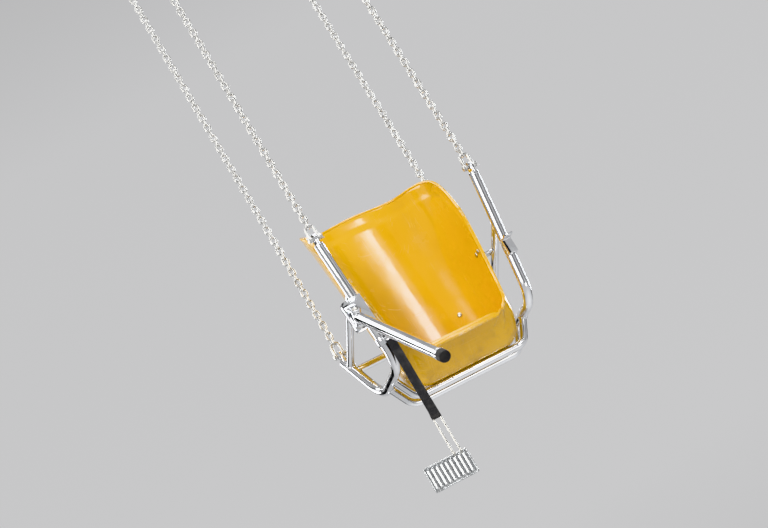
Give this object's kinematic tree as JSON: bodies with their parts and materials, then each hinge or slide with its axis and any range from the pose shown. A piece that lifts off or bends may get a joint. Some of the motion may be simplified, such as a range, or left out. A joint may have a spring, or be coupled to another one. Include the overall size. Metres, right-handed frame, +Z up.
{
  "type": "swing ride chair",
  "caption": "Single moulded chair of a chair swing ride on a polished tube frame, hung by chains from a spreader and swivel hanger, with a hinged lap bar.",
  "frame": {"origin": "middle of the mounting flange's top face, where the hanger bolts under the ride's arm", "axes": "+Z up out of the flange, -Y the way the rider faces, +X the side that swings outward"},
  "size_m": [0.6677, 0.974, 3.1325],
  "materials": {
    "yellow_shell": "glossy moulded glass-fibre shell with fine scuffs",
    "polished_tube": "polished tube with handling marks",
    "zinc_chain": "galvanised welded chain and shackles, rubbed bright at the bearing points",
    "hanger_paint": "grey paint over welded steel, chipped at the edges",
    "machined_steel": "turned and zinc-plated steel",
    "black_webbing": "black woven webbing",
    "grey_plate": "grey ribbed steel plate",
    "black_rubber": "matt black rubber"
  },
  "bodies": {
    "arm_end": {"mounting_flange": "hanger_paint", "hanger_cheek_front": "hanger_paint", "hanger_cheek_rear": "hanger_paint", "roll_pin": "machined_steel"},
    "swivel": {"swivel_block": "machined_steel", "pitch_pin": "machined_steel"},
    "chair": {"yoke_cheek_left": "hanger_paint", "yoke_cheek_right": "hanger_paint", "yoke_plate": "hanger_paint", "spreader_cross_beam": "hanger_paint", "spreader_beam_left": "hanger_paint", "spreader_beam_right": "hanger_paint", "top_shackle_front_left": "zinc_chain", "top_shackle_rear_left": "zinc_chain", "top_shackle_front_right": "zinc_chain", "top_shackle_rear_right": "zinc_chain", "chain_front_left": "zinc_chain", "chain_rear_left": "zinc_chain", "chain_front_right": "zinc_chain", "chain_rear_right": "zinc_chain", "bottom_shackle_front_left": "zinc_chain", "bottom_shackle_rear_left": "zinc_chain", "bottom_shackle_front_right": "zinc_chain", "bottom_shackle_rear_right": "zinc_chain", "side_frame_left": "polished_tube", "side_frame_right": "polished_tube", "arm_rail_left": "polished_tube", "arm_rail_right": "polished_tube", "cross_tube_front": "polished_tube", "cross_tube_rear": "polished_tube", "back_rail": "polished_tube", "seat_shell": "yellow_shell", "wing_bracket_left": "polished_tube", "wing_bracket_right": "polished_tube", "back_buffer_left": "black_rubber", "back_buffer_right": "black_rubber", "bar_hinge_bracket": "polished_tube", "bar_hinge_pin": "machined_steel", "bar_catch": "polished_tube", "strap_clamp": "polished_tube", "latch_strap": "black_webbing", "strap_hook": "machined_steel", "strap_plate": "grey_plate"},
    "bar": {"lap_bar": "polished_tube", "lap_bar_cap": "black_rubber"}
  },
  "joints": [
    {"name": "outward_swing", "type": "hinge", "parent": "arm_end", "child": "swivel", "pos_m": [0, 0, -0.082], "axis": [0, -1, 0], "range_deg": [-20, 50]},
    {"name": "fore_aft_swing", "type": "hinge", "parent": "swivel", "child": "chair", "pos_m": [0, 0, -0.132], "axis": [1, 0, 0], "range_deg": [-25, 25]},
    {"name": "lap_bar_hinge", "type": "hinge", "parent": "chair", "child": "bar", "pos_m": [-0.29578, -0.20972, -2.556], "axis": [0, -0.5736, 0.8192], "range_deg": [-20, 90]}
  ]
}
